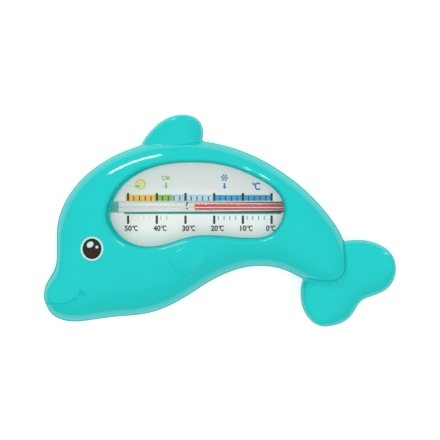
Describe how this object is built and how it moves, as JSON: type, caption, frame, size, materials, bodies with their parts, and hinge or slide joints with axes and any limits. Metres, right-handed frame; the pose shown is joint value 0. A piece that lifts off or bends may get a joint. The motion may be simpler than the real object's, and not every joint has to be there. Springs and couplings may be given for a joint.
{
  "type": "baby bath thermometer",
  "caption": "Floating bath thermometer in the shape of a leaping dolphin, with a glass tube of red spirit on a printed scale behind a clear window in its side.",
  "frame": {"origin": "middle of the outline on the surface that the thermometer lies on", "axes": "+X from the beak to the tail, +Y from the belly to the back fin, +Z out of the window"},
  "size_m": [0.1563, 0.0942, 0.0271],
  "materials": {
    "teal_plastic": "polished moulding in teal",
    "clear_plastic": "clear and polished",
    "plate_white": "satin white",
    "ink_amber": "printed",
    "ink_green": "printed",
    "ink_pale_blue": "printed",
    "ink_blue": "printed",
    "tube_glass": "drawn and blown, clear",
    "spirit_red": "dyed liquid",
    "silicone": "soft and matte",
    "eye_white": "printed",
    "eye_brown": "printed"
  },
  "bodies": {
    "root": {"front_shell": "teal_plastic", "rear_shell": "teal_plastic", "window_lens": "clear_plastic", "scale_plate": "plate_white", "band_hot": "ink_amber", "band_ideal": "ink_green", "band_cool": "ink_pale_blue", "band_cold": "ink_blue", "glass_tube": "tube_glass", "red_spirit": "spirit_red", "tube_cushion": "silicone", "stem_seal": "silicone", "eye_white": "eye_white", "eye_pupil": "eye_brown", "eye_glint_large": "eye_white", "eye_glint_small": "eye_white"}
  },
  "joints": []
}
